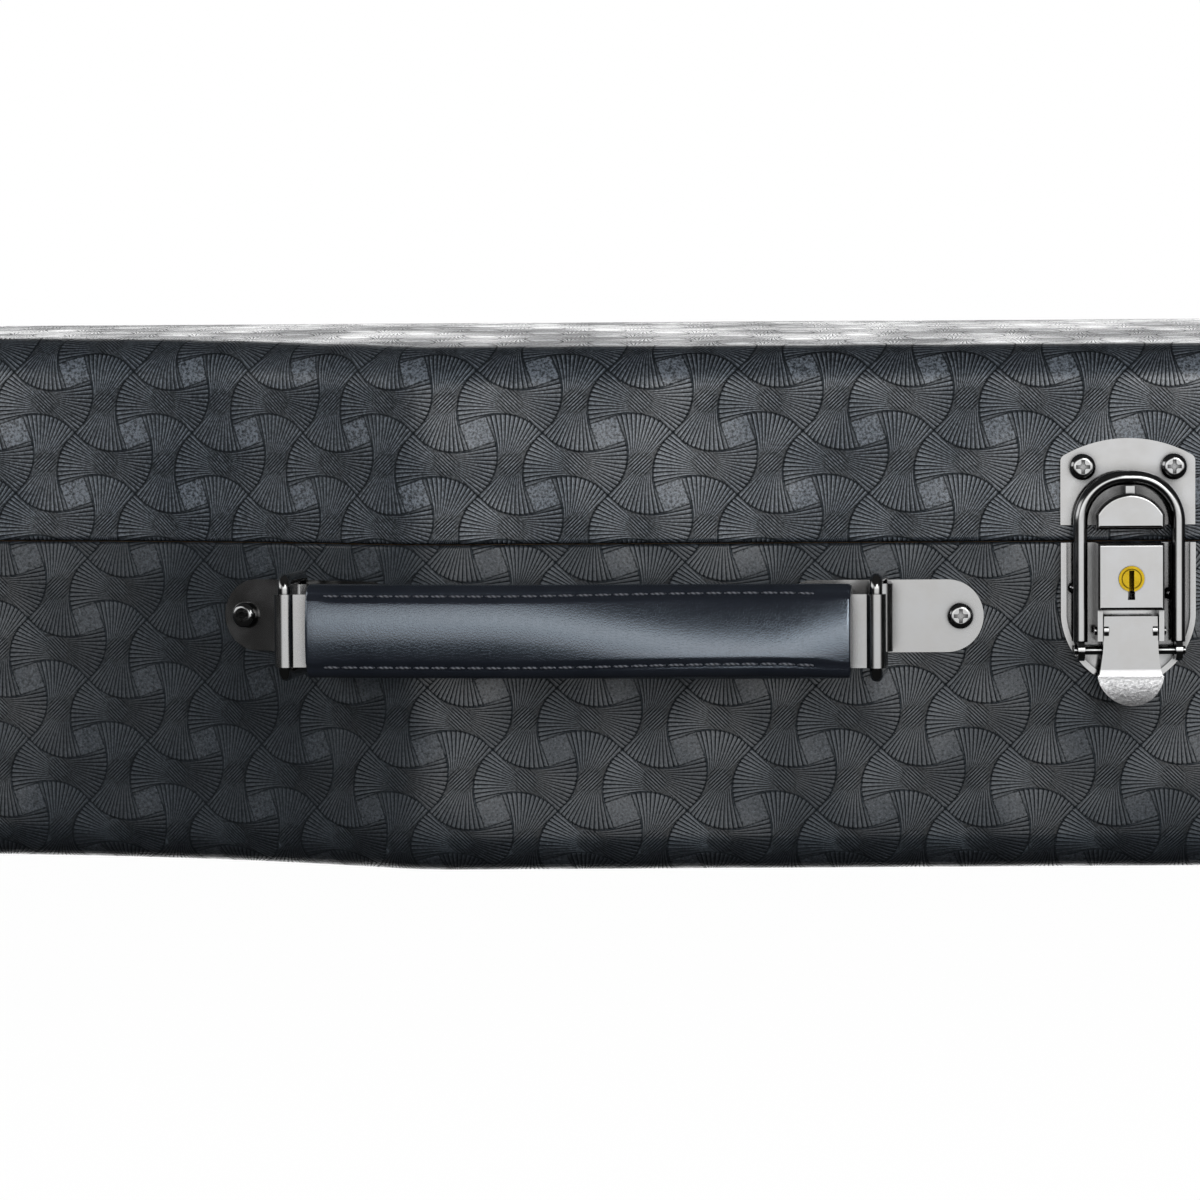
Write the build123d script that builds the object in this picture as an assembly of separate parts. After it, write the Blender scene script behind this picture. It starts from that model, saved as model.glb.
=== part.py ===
from build123d import *
import math
import os

# A shaped hard case for an electric guitar, lying flat with its lid up.
# Row frame: +X towards the body end, -Y towards the handle side, +Z up.
# The origin is the middle of the flat face that the case rests on. Millimetres.

# plan of the case
case_length = 1030.0
body_half_width = 178.0
body_corner_radius = 132.0
head_corner_radius = 48.0
bend_x = 47.0
bend_radius = 40.0
bend_angle = 33.0
sweep_radius = 250.0
neck_taper = 4.0

# heights
parting_z = 79.0
lid_side_top_z = 125.5
lid_crown_z = 133.0
edge_radius = 9.0

# layers
vinyl = 0.9
ply = 5.0
plush = 2.6
parting_gap = 0.4
lip_thickness = 2.4
lip_clearance = 0.5
lip_rise = 6.0

# interior
pad_gap = 0.3
floor_pad_height = 14.0
floor_pad_radius = 120.0
bumper_hollow_radius = 136.0
bumper_hollow_x = 330.0
cradle_x = -62.0
cradle_length = 62.0
cradle_height = 60.0
neck_notch_half = 30.0
neck_notch_z = 34.0
head_cradle_x = -224.0
head_cradle_length = 46.0
compartment_lid_z = 30.0
compartment_lid_thickness = 4.0
compartment_hinge_radius = 1.6
rail_width = 9.0

# latch, measured from its centre line and the parting line; y is out from the case side
latch_x = 206.7
latch_width = 32.2
plate_thickness = 1.2
wire = 3.4
bail_half = 11.65
bail_arch_z = 15.1
bail_corner = 10.6
bail_pin_z = -26.0
lever_pin_z = -21.3
lever_pin_y = 5.6
bail_pin_y = 5.0
pin_radius = 1.0
running_clearance = 0.05
hook_clearance = 0.2
housing_width = 15.8
housing_top = -0.4
housing_bottom = -16.3
housing_out = 9.2
lever_out = 7.6
rivet_radius = 1.4
rivet_spots = ((-13.0, -11.2), (9.6, -12.6))
keeper_corner = 1.6

# handle
handle_right_x = 147.5
handle_left_x = 11.6
knuckle_out = 6.2
ring_wire = 3.0
ring_height = 25.4
ring_reach = 24.0
ring_corner = 2.0
ring_play = 0.4
strap_height = 22.0
strap_thickness = 8.5
loop_height = 17.2
loop_sheet = 0.8
knuckle_sheet = 1.2
knuckle_recess = 0.6
strap_inset = 5.5
plate_width = 17.4
handle_z = 61.3

# hinges
hinge_places = (90.0, 215.0, 340.0)
hinge_length = 46.0
hinge_pin_radius = 1.5
hinge_barrel_radius = 3.2
leaf_thickness = 1.2
leaf_height = 24.0

# screws: the shank's length under the head and its radius as a share of the head's
screw_depth = 6.0
shank_share = 0.45
recess_reach = 1.7
recess_half = 0.45
recess_depth = 0.9
latch_screw_radius = 3.15
latch_screw_x = 10.9
latch_screw_z = 17.7
handle_screw_radius = 3.1
handle_screw_spots = (-19.1, 19.1)
handle_tab = 24.7

foot_radius = 9.0
foot_out = 9.0
base_foot_z = 30.0
base_foot_places = (62.0, 368.0)
lid_foot_z = 104.0
lid_foot_places = (152.0, 278.0)

nodes = {}
lid_shanks = []
base_shanks = []


def add(name, *solids):
    nodes.setdefault(name, []).extend(solids)


# Half of the plan as a chain of tangent arcs and lines, from the body end to the head end.
sweep_drop = bend_radius * (1 - math.cos(math.radians(bend_angle)))
bend_run = bend_radius * math.sin(math.radians(bend_angle))
sweep_run = sweep_radius * (math.sin(math.radians(bend_angle)) - math.sin(math.radians(neck_taper)))
sweep_fall = sweep_radius * (math.cos(math.radians(neck_taper)) - math.cos(math.radians(bend_angle)))
half_length = case_length / 2
taper_start_x = bend_x - bend_run - sweep_run
taper_start_y = body_half_width - sweep_drop - sweep_fall


def side_half_width(x):
    """Half width of the case at x on the bend, the sweep and the straight side."""
    if x >= bend_x:
        return body_half_width
    if x >= bend_x - bend_run:
        turn = math.asin((bend_x - x) / bend_radius)
        return body_half_width - bend_radius * (1 - math.cos(turn))
    if x >= taper_start_x:
        run = bend_x - bend_run - x
        turn = math.asin(math.sin(math.radians(bend_angle)) - run / sweep_radius)
        fall = sweep_radius * (math.cos(turn) - math.cos(math.radians(bend_angle)))
        return body_half_width - sweep_drop - fall
    return taper_start_y - (taper_start_x - x) * math.tan(math.radians(neck_taper))


def side_slope(x):
    step = 0.01
    return math.degrees(math.atan2(side_half_width(x + step) - side_half_width(x - step), 2 * step))


def side_x(start, run):
    """The x that lies run further along the case side than start."""
    steps = 200
    x = start
    for _ in range(steps):
        x += run / steps * math.cos(math.radians(side_slope(x)))
    return x


def plan(inset=0.0):
    """Closed plan face of the case, moved inwards by inset."""
    half = body_half_width - inset
    end_x = half_length - inset
    corner = body_corner_radius - inset
    bend = bend_radius - inset
    sweep = sweep_radius + inset
    head = head_corner_radius - inset
    taper = math.radians(neck_taper)
    turn = math.radians(bend_angle)
    corner_mid = corner * math.sqrt(0.5)
    centre = (end_x - corner, half - corner)
    side_start = (bend_x, half)
    bend_centre = (bend_x, half - bend)
    bend_mid = (bend_x - bend * math.sin(turn / 2), bend_centre[1] + bend * math.cos(turn / 2))
    bend_end = (bend_x - bend * math.sin(turn), bend_centre[1] + bend * math.cos(turn))
    sweep_centre = (bend_end[0] - sweep * math.sin(turn), bend_end[1] + sweep * math.cos(turn))
    middle = (turn + taper) / 2
    sweep_mid = (sweep_centre[0] + sweep * math.sin(middle), sweep_centre[1] - sweep * math.cos(middle))
    sweep_end = (sweep_centre[0] + sweep * math.sin(taper), sweep_centre[1] - sweep * math.cos(taper))
    head_x = -half_length + inset
    # the head corner turns from the tapered side to the square end
    head_centre_x = head_x + head
    along = (head_centre_x - sweep_end[0]) - head * math.sin(taper)
    head_start = (head_centre_x - head * math.sin(taper), sweep_end[1] + along * math.tan(taper))
    head_centre = (head_centre_x, head_start[1] - head * math.cos(taper))
    half_turn = (math.pi / 2 + taper) / 2
    head_mid = (head_centre[0] - head * math.sin(half_turn), head_centre[1] + head * math.cos(half_turn))
    head_end = (head_x, head_centre[1])

    def chain(sign):
        def at(point):
            return (point[0], sign * point[1])
        return [
            Line(at((end_x, 0)), at((end_x, centre[1]))),
            ThreePointArc(at((end_x, centre[1])), at((centre[0] + corner_mid, centre[1] + corner_mid)),
                          at((centre[0], half))),
            Line(at((centre[0], half)), at(side_start)),
            ThreePointArc(at(side_start), at(bend_mid), at(bend_end)),
            ThreePointArc(at(bend_end), at(sweep_mid), at(sweep_end)),
            Line(at(sweep_end), at(head_start)),
            ThreePointArc(at(head_start), at(head_mid), at(head_end)),
            Line(at(head_end), at((head_x, 0))),
        ]
    edges = chain(1) + chain(-1)
    return Face(Wire(edges))


def slab(inset, low, high):
    return extrude(plan(inset), high - low, dir=(0, 0, 1)).moved(Location((0, 0, low)))


# The lid's arch is part of a wide cylinder along X.
arch_drop = lid_crown_z - lid_side_top_z
arch_radius = (body_half_width ** 2 + arch_drop ** 2) / (2 * arch_drop)


def lid_form(inset, low):
    """Outer form of the lid moved inwards by inset, from low up to its arch."""
    block = slab(inset, low, lid_crown_z + 1)
    drum = Cylinder(arch_radius - inset, case_length + 40, rotation=(0, 90, 0))
    form = block & drum.moved(Location((0, 0, lid_crown_z - arch_radius)))
    top = [edge for edge in form.solid().edges() if edge.center().Z > lid_side_top_z - inset - 4]
    return fillet(top, edge_radius - inset)


def base_form(inset, high):
    block = slab(inset, inset, high)
    bottom = [edge for edge in block.edges() if edge.center().Z < inset + 0.5]
    return fillet(bottom, edge_radius - inset)


def box(x0, x1, y0, y1, z0, z1):
    solid = Box(x1 - x0, y1 - y0, z1 - z0)
    return solid.moved(Location(((x0 + x1) / 2, (y0 + y1) / 2, (z0 + z1) / 2)))


def rod(start, end, radius):
    """Round rod from start to end."""
    direction = Vector(*end) - Vector(*start)
    plane = Plane(origin=start, z_dir=direction)
    return extrude(plane * Circle(radius), direction.length)


def cut_all(solid, cutters):
    for cutter in cutters:
        solid = solid - cutter
    return solid


def build_shells():
    top_of_base = parting_z - parting_gap / 2
    foot_of_lid = parting_z + parting_gap / 2
    skin, board, inner = vinyl, vinyl + ply, vinyl + ply + plush
    base_outer, base_mid = base_form(0, top_of_base), base_form(skin, top_of_base)
    base_room = slab(board, board, top_of_base + 1)
    cover = base_outer - base_mid
    add("base_vinyl_bottom", cover & slab(-5, 0, board + 4))
    add("base_vinyl_side", cover & slab(-5, board + 4, parting_z))
    shell = base_mid - base_room
    add("base_bottom_panel", shell & slab(-5, 0, board + 4))
    add("base_side_rim", shell & slab(-5, board + 4, parting_z))
    lining_room = slab(inner, inner, parting_z + 1)
    lining_top = parting_z - 9
    lining = slab(board, board, lining_top) - lining_room
    add("base_plush_lining", lining)
    lip = slab(board + lip_clearance, lining_top, parting_z + lip_rise)
    lip_foot = slab(board, lining_top, parting_z - 2)
    lip = (lip + lip_foot) - slab(board + lip_thickness, lining_top - 1, parting_z + lip_rise + 1)
    add("base_dust_lip", lip)

    lid_outer, lid_mid = lid_form(0, foot_of_lid), lid_form(skin, foot_of_lid)
    lid_room = lid_form(board, foot_of_lid - 1)
    add("lid_vinyl_cover", lid_outer - lid_mid)
    lid_shell = lid_mid - lid_room
    split = lid_side_top_z - edge_radius
    add("lid_side_rim", lid_shell & slab(-5, foot_of_lid, split))
    add("lid_top_panel", lid_shell & slab(-5, split, lid_crown_z + 5))
    lid_lining_low = parting_z + lip_rise + 4
    lining = lid_form(board, lid_lining_low) - lid_form(inner, lid_lining_low - 1)
    add("lid_plush_lining", lining)


def build_interior():
    wall = vinyl + ply + plush + pad_gap
    floor = vinyl + ply + plush
    # crowned pad under the guitar's body
    pad_x0, pad_x1 = 30.0, bumper_hollow_x + floor_pad_radius
    pad = Plane((((pad_x0 + pad_x1) / 2, 0, floor))) * RectangleRounded(pad_x1 - pad_x0, 2 * floor_pad_radius + 4,
                                                                        floor_pad_radius)
    pad = extrude(pad, floor_pad_height)
    pad = fillet(pad.edges().filter_by(Axis.Z, reverse=True).group_by(Axis.Z)[-1], 6)
    add("body_floor_pad", pad)
    # end bumper: a thick cushion along the body end
    rim = slab(wall, floor, parting_z - 9) & box(half_length - 150, half_length, -300, 300, -1, 100)
    hollow = Cylinder(bumper_hollow_radius, 200).moved(Location((bumper_hollow_x, 0, 50)))
    bumper = rim - hollow - box(0, bumper_hollow_x + 26, -300, 300, -10, 200)
    bumper = max(bumper.solids(), key=lambda solid: solid.volume)
    add("end_bumper_pad", bumper)
    # two waist blocks that hold the guitar's sides
    for side, name in ((1, "back"), (-1, "front")):
        block = slab(wall, floor, parting_z - 9)
        strip = box(80, 330, side * 60 if side > 0 else -300, 300 if side > 0 else -60, -1, 100)
        block = block & strip
        scoop = Cylinder(210, 200).moved(Location((205, side * 346, 50)))
        block = block & scoop
        bite = box(80, 330, -(body_half_width - wall - 34), body_half_width - wall - 34, -1, 100)
        add(f"waist_block_{name}", max(((block - bite)).solids(), key=lambda solid: solid.volume))
    # neck cradle and head cradle, each with a notch for the neck
    for name, x0, length in (("neck_cradle", cradle_x, cradle_length),
                             ("head_cradle", head_cradle_x, head_cradle_length)):
        block = slab(wall, floor, floor + cradle_height) & box(x0, x0 + length, -300, 300, -1, 200)
        notch = box(x0 - 1, x0 + length + 1, -neck_notch_half, neck_notch_half, neck_notch_z, 200)
        add(name, block - notch)
    # compartment lid between the cradles, with a knuckle along the neck cradle
    x_hinge = cradle_x - 4.0
    x_free = head_cradle_x + head_cradle_length + 1.5
    z0 = floor + compartment_lid_z
    half = side_half_width(x_free) - wall - 4
    board = box(x_free, x_hinge - 3, -half, half, z0, z0 + compartment_lid_thickness)
    board = board + rod((x_hinge, -half, z0 + 2), (x_hinge, half, z0 + 2), compartment_hinge_radius)
    board = board + box(x_hinge - 4, x_hinge, -half, half, z0 + 1.2, z0 + 2.8)
    add("compartment_lid", board)
    ribbon_x = x_free + 20
    tab = box(ribbon_x, ribbon_x + 34, -8, 8, z0 + 4.0, z0 + 5.2)
    add("compartment_pull_ribbon", tab)
    # rails along the walls hold the board's sides, and a grooved rail holds its knuckle
    rails = slab(wall, z0 - 8, z0 - pad_gap) - slab(wall + rail_width, z0 - 9, z0)
    rails = rails & box(x_free + 1, x_hinge - 12, -300, 300, 0, 100)
    add("compartment_rest_rails", *rails.solids())
    groove = rod((x_hinge, -half - 9, z0 + 2), (x_hinge, half + 9, z0 + 2), compartment_hinge_radius + running_clearance)
    rail = box(x_hinge, cradle_x, -half, half, z0 - 0.4, z0 + 4.4) - groove
    add("compartment_hinge_rail", rail)
    return x_hinge, z0 + 2


upright = Plane(origin=(0, 0, 0), x_dir=(1, 0, 0), z_dir=(0, -1, 0))


def outward(face, depth):
    """Solid from an upright face, grown out of the case side."""
    return extrude(upright * face, depth, dir=(0, -1, 0))


def shank(x, z, radius):
    """Screw shank from under the head, through the plate and into the ply."""
    return rod((x, 0, z), (x, screw_depth, z), radius * shank_share)


def pan_head(x, z, radius, out):
    """Pan-head screw, its head outside y = 0 and its shank inside."""
    head = rod((x, 0, z), (x, -out, z), radius)
    rim = head.edges().filter_by(GeomType.CIRCLE).sort_by(Axis.Y)[0]
    head = fillet(rim, out * 0.6)
    slots = box(x - recess_reach, x + recess_reach, -out - 1, recess_depth - out, z - recess_half, z + recess_half)
    slots = slots + box(x - recess_half, x + recess_half, -out - 1, recess_depth - out, z - recess_reach,
                        z + recess_reach)
    slots = slots + rod((x, -out - 1, z), (x, recess_depth - out, z), recess_half * 1.9)
    return head - slots + shank(x, z, radius)


def latch_pieces(key_lock):
    """Draw-bolt latch in its own frame: x across, -y out, z from the parting line."""
    half = latch_width / 2
    keeper_low, keeper_shoulder, keeper_top = 3.8, 20.0, 24.5
    outline = [
        Line((-half, keeper_low), (half, keeper_low)),
        Line((half, keeper_low), (half, keeper_shoulder)),
        ThreePointArc((half, keeper_shoulder), (0, keeper_top), (-half, keeper_shoulder)),
        Line((-half, keeper_shoulder), (-half, keeper_low)),
    ]
    plate = outward(Face(Wire(outline)), plate_thickness)
    shoulders = [edge for edge in plate.edges().filter_by(Axis.Y) if edge.center().Z > keeper_shoulder - 1]
    plate = fillet(shoulders, keeper_corner)
    # hook boss: a D-shaped block with a flared rim over a narrower neck
    boss_low, boss_radius, boss_out = 2.9, 8.2, 7.4
    boss_top = 11.5
    boss_line = [
        Line((-boss_radius, boss_low), (boss_radius, boss_low)),
        Line((boss_radius, boss_low), (boss_radius, boss_top - 5)),
        ThreePointArc((boss_radius, boss_top - 5), (0, boss_top), (-boss_radius, boss_top - 5)),
        Line((-boss_radius, boss_top - 5), (-boss_radius, boss_low)),
    ]
    boss = outward(Face(Wire(boss_line)), boss_out)
    face_edges = boss.edges().filter_by(lambda edge: abs(edge.center().Y + boss_out) < 0.01)
    boss = fillet(face_edges, 0.9)
    nub_half = bail_half - bail_corner
    nub_top = bail_arch_z - wire / 2 - hook_clearance
    nub = box(-nub_half, nub_half, -6.4, 0, boss_top - 2, nub_top)
    keeper = plate + boss + nub
    hole = latch_screw_radius * shank_share
    screws = []
    for side in (1, -1):
        x, z = side * latch_screw_x, latch_screw_z
        keeper = keeper - rod((x, 1, z), (x, -4, z), hole)
        screws.append(pan_head(x, z, latch_screw_radius, 2.4).moved(Location((0, -plate_thickness, 0))))
    # base plate with turned-up rims and a rounded foot
    low, straight, foot_bulge_z = -32.9, -18.0, -27.2
    foot = [
        Line((-half, housing_top), (half, housing_top)),
        Line((half, housing_top), (half, straight)),
        ThreePointArc((half, straight), (half * 0.8, foot_bulge_z), (half * 0.42, low)),
        Line((half * 0.42, low), (-half * 0.42, low)),
        ThreePointArc((-half * 0.42, low), (-half * 0.8, foot_bulge_z), (-half, straight)),
        Line((-half, straight), (-half, housing_top)),
    ]
    foot_face = Face(Wire(foot))
    base = outward(foot_face, plate_thickness)
    rim_out = 2.3
    rim_block = outward(foot_face, rim_out)
    hollow = outward(offset(foot_face, -1.3, kind=Kind.INTERSECTION), rim_out + 1)
    open_top = box(-half + 1.3, half - 1.3, -10, -plate_thickness, -10, 2)
    open_foot = box(-half * 0.42, half * 0.42, -10, -plate_thickness, low - 1, -20)
    rim = rim_block - hollow - open_top - open_foot
    base = base + rim
    # lock housing: a box with two ears that carry the lever's pin
    hw = housing_width / 2
    shell = box(-hw, hw, -housing_out, -plate_thickness / 2, housing_bottom, housing_top)
    front = shell.edges().filter_by(lambda edge: abs(edge.center().Y + housing_out) < 0.01)
    shell = fillet(front, 0.7)
    room = box(-hw + 1.2, hw - 1.2, -housing_out + 1.3, -plate_thickness, housing_bottom - 1, housing_top - 1.4)
    shell = shell - room
    ear_low = lever_pin_z - 2.4
    ears = []
    for side in (1, -1):
        ear = box(side * hw - (1.2 if side > 0 else 0), side * hw + (0 if side > 0 else 1.2),
                  -lever_pin_y - 2.4, -plate_thickness / 2, ear_low, housing_bottom + 0.5)
        ears.append(ear)
    base = base + shell + ears[0] + ears[1]
    pin_hole = rod((-hw - 3, -lever_pin_y, lever_pin_z), (hw + 3, -lever_pin_y, lever_pin_z),
                   pin_radius)
    base = base - pin_hole
    lever_pin = rod((-hw - 0.6, -lever_pin_y, lever_pin_z), (hw + 0.6, -lever_pin_y, lever_pin_z), pin_radius)
    rivets = []
    for x, z in rivet_spots:
        dome = Sphere(rivet_radius).moved(Location((x, -plate_thickness, z)))
        rivets.append(dome & box(x - 3, x + 3, -plate_thickness - 3, -plate_thickness, z - 3, z + 3))
    # lever: a bent tab between the ears, flaring to a curled finger lip
    web = 1.1
    top_z = -17.8
    width_line = [
        Line((-6.35, top_z), (6.35, top_z)),
        Line((6.35, top_z), (6.5, -24.0)),
        ThreePointArc((6.5, -24.0), (6.8, -28.0), (7.4, -31.6)),
        Line((7.4, -31.6), (7.9, -32.2)),
        ThreePointArc((7.9, -32.2), (0, -38.9), (-7.9, -32.2)),
        Line((-7.9, -32.2), (-7.4, -31.6)),
        ThreePointArc((-7.4, -31.6), (-6.8, -28.0), (-6.5, -24.0)),
        Line((-6.5, -24.0), (-6.35, top_z)),
    ]
    section = Face(Wire([
        Line((-lever_out, top_z), (-lever_out, -30.5)),
        ThreePointArc((-lever_out, -30.5), (-lever_out - 1.3, -35.2), (-lever_out - 4.6, -39.4)),
        Line((-lever_out - 4.6, -39.4), (-lever_out - 3.7, -40.1)),
        ThreePointArc((-lever_out - 3.7, -40.1), (-lever_out - 0.3, -35.6), (-lever_out + web, -30.5)),
        Line((-lever_out + web, -30.5), (-lever_out + web, top_z)),
        Line((-lever_out + web, top_z), (-lever_out, top_z)),
    ]))
    sheet = extrude(Plane.YZ * section, 12, both=True)
    prism = outward(Face(Wire(width_line)), 30)
    tab = sheet & prism
    flange_half = 6.35
    sides = []
    for side in (1, -1):
        flange = box(side * flange_half - (web if side > 0 else 0), side * flange_half + (0 if side > 0 else web),
                     -lever_out + 0.3, -3.0, -28.6, -19.0)
        lobe = rod((side * flange_half - (web if side > 0 else 0), -lever_pin_y, lever_pin_z),
                   (side * flange_half + (0 if side > 0 else web), -lever_pin_y, lever_pin_z), 2.3)
        sides.append(flange + lobe)
    lever = tab + sides[0] + sides[1]
    lever = lever - rod((-9, -lever_pin_y, lever_pin_z), (9, -lever_pin_y, lever_pin_z),
                        pin_radius + running_clearance)
    # the bail's pins are riveted into the lever's flanges
    reach = bail_half + 1.6
    for side in (1, -1):
        lever = lever + rod((side * (flange_half - 0.5), -bail_pin_y, bail_pin_z),
                            (side * reach, -bail_pin_y, bail_pin_z), pin_radius)
    # bail: a U of round wire with flattened, pierced ends
    r = wire / 2
    bail_y = -4.4
    foot_z = bail_pin_z + 2.0
    stand = Plane(origin=(0, bail_y, 0), x_dir=(1, 0, 0), z_dir=(0, -1, 0))
    path = stand * FilletPolyline((-bail_half, foot_z), (-bail_half, bail_arch_z), (bail_half, bail_arch_z),
                                  (bail_half, foot_z), radius=bail_corner)
    bail = sweep(Plane(origin=(-bail_half, bail_y, foot_z), z_dir=(0, 0, 1)) * Circle(r), path=path)
    for side in (1, -1):
        eye = rod((side * (bail_half - 0.8), -bail_pin_y, bail_pin_z), (side * (bail_half + 0.8), -bail_pin_y,
                  bail_pin_z), 2.5)
        link = box(side * bail_half - 0.8, side * bail_half + 0.8, bail_y - 1.5, bail_y + 1.5, bail_pin_z,
                   bail_pin_z + 3)
        bail = bail + eye + link
    bail = bail - rod((-15, -bail_pin_y, bail_pin_z), (15, -bail_pin_y, bail_pin_z), pin_radius + running_clearance)
    pieces = {
        "keeper": [keeper],
        "keeper_screws": screws,
        "base_plate": [base],
        "lever_pin": [lever_pin],
        "rivets": rivets,
        "lever": [lever],
        "bail": [bail],
    }
    if key_lock:
        lock_z, lock_radius = -8.8, 3.05
        bore = rod((0, 0, lock_z), (0, -12, lock_z), lock_radius + running_clearance)
        notch = box(-0.85, 0.85, -12, -plate_thickness - 2, lock_z - 5.0, lock_z - 2.6)
        pieces["base_plate"] = [base - bore - notch]
        plug = rod((0, -plate_thickness - 0.2, lock_z), (0, -housing_out - 0.35, lock_z), lock_radius)
        slot = box(-0.6, 0.6, -housing_out - 1, -housing_out + 5, lock_z - 3.2, lock_z + 2.0)
        face_y = -housing_out - 0.35
        groove = rod((0, face_y - 1, lock_z), (0, face_y + 0.3, lock_z), 2.45)
        groove = groove - rod((0, face_y - 1, lock_z), (0, face_y + 0.3, lock_z), 2.15)
        pieces["lock_cylinder"] = [plug - groove - slot]
    return pieces


def build_latches():
    """Latches at the neck, beside the handle and at the body end."""
    places = {
        "neck": (-300.0, -side_half_width(-300.0), -neck_taper, False),
        "lock": (latch_x, -body_half_width, 0.0, True),
        "end": (half_length, 0.0, 90.0, False),
    }
    for name, (x, y, yaw, key_lock) in places.items():
        location = Location((x, y, parting_z), (0, 0, yaw))
        for side in (1, -1):
            stem = shank(side * latch_screw_x, latch_screw_z, latch_screw_radius)
            lid_shanks.append(stem.moved(location * Location((0, -plate_thickness, 0))))
        for piece, solids in latch_pieces(key_lock).items():
            add(f"latch_{name}_{piece}", *[solid.moved(location) for solid in solids])
        for label, local in (("lever pin", (0, -lever_pin_y, lever_pin_z)),
                             ("bail pin", (0, -bail_pin_y, bail_pin_z))):
            spot = (location * Location(local)).position
            print(f"latch {name} {label}: {spot.X:.3f} {spot.Y:.3f} {spot.Z:.3f}")
    return places


def build_hinges():
    """Butt hinges on the back side: knuckles of three around a pin on the parting line."""
    axis_y = body_half_width + hinge_barrel_radius + 0.3
    part = hinge_length / 3
    gap = 0.25
    for x in hinge_places:
        pin = rod((x - hinge_length / 2, axis_y, parting_z), (x + hinge_length / 2, axis_y, parting_z),
                  hinge_pin_radius)
        add("hinge_pins", pin)
        bore = rod((x - hinge_length, axis_y, parting_z), (x + hinge_length, axis_y, parting_z),
                   hinge_pin_radius + running_clearance)
        tight = rod((x - hinge_length, axis_y, parting_z), (x + hinge_length, axis_y, parting_z), hinge_pin_radius)
        for name, sign, spans in (("base", -1, (0, 2)), ("lid", 1, (1,))):
            y0 = body_half_width
            z0, z1 = sorted((parting_z + sign * 1.2, parting_z + sign * leaf_height))
            leaf = box(x - hinge_length / 2, x + hinge_length / 2, y0, y0 + leaf_thickness, z0, z1)
            for span in (0, 1, 2):
                start = x - hinge_length / 2 + span * part
                if span in spans:
                    low, high = sorted((parting_z, parting_z + sign * 5.0))
                    arm = box(start + gap, start + part - gap, y0, axis_y, low, high)
                    arm = arm & rod((start, axis_y, parting_z), (start + part, axis_y, parting_z), 6.5)
                    arm = arm & box(start, start + part, y0, axis_y, low, high)
                    barrel = rod((start + gap, axis_y, parting_z), (start + part - gap, axis_y, parting_z),
                                 hinge_barrel_radius)
                    web = box(start + gap, start + part - gap, y0, y0 + leaf_thickness, *sorted(
                        (parting_z, parting_z + sign * 5.0)))
                    leaf = leaf + barrel + web
                else:
                    clear = rod((start - gap, axis_y, parting_z), (start + part + gap, axis_y, parting_z),
                                hinge_barrel_radius + 0.4)
                    leaf = leaf - clear
            leaf = leaf - (tight if name == "base" else bore)
            add(f"hinge_{name}_leaves", leaf)
            for offset_x in (-15, 0, 15):
                spot = parting_z + sign * 16
                head = rod((x + offset_x, y0 + leaf_thickness, spot), (x + offset_x, y0 + leaf_thickness + 1.1,
                           spot), 2.4)
                add(f"hinge_{name}_rivets", head)
    return axis_y


def handle_plate(foot_x):
    """Handle plate whose knuckle stands at foot_x, bent to the case side, with its screws."""
    half = plate_width / 2
    spot = Location((foot_x, -side_half_width(foot_x), handle_z), (0, 0, -side_slope(foot_x)))
    straight = handle_tab - half
    outline = box(-straight, straight, -4, 6, -half, half)
    for side in (1, -1):
        outline = outline + rod((side * straight, 6, 0), (side * straight, -4, 0), half)
    plate = outline.moved(spot) & (slab(-plate_thickness, 0, parting_z) - slab(0, -1, parting_z + 1))
    knuckle_half = half - knuckle_recess
    radius = ring_wire / 2 + running_clearance
    outer = radius + knuckle_sheet
    bridge = rod((0, -knuckle_out, -knuckle_half), (0, -knuckle_out, knuckle_half), outer)
    bridge = bridge + box(-outer, outer, -knuckle_out, 0, -knuckle_half, knuckle_half)
    bridge = bridge - rod((0, -knuckle_out, -20), (0, -knuckle_out, 20), radius)
    plate = plate + (bridge.moved(spot) - slab(0, 0, parting_z))
    screws, stems = [], []
    for run in handle_screw_spots:
        x = side_x(foot_x, run)
        seat = Location((x, -side_half_width(x), handle_z), (0, 0, -side_slope(x)))
        seat = seat * Location((0, -plate_thickness, 0))
        stem = shank(0, 0, handle_screw_radius).moved(seat)
        plate = plate - stem - rod((0, 0, 0), (0, -3, 0), handle_screw_radius).moved(seat)
        stems.append(stem)
        screws.append(pan_head(0, 0, handle_screw_radius, 2.2).moved(seat))
    return spot, plate, screws, stems


def wire_ring():
    """Closed rectangular link standing out from the plate: the inner bar at y = 0 in the knuckle."""
    h = ring_height / 2 - ring_wire / 2
    corner = ring_corner
    reach = ring_reach
    half_path = Plane.YZ * FilletPolyline((-reach / 2, h), (0, h), (0, -h), (-reach / 2, -h), radius=corner)
    start = Plane(origin=(0, -reach / 2, h), z_dir=(0, 1, 0))
    inner_half = sweep(start * Circle(ring_wire / 2), path=half_path)
    outer_half = inner_half.mirror(Plane(origin=(0, -reach / 2, 0), z_dir=(0, 1, 0)))
    return inner_half + outer_half


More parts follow.
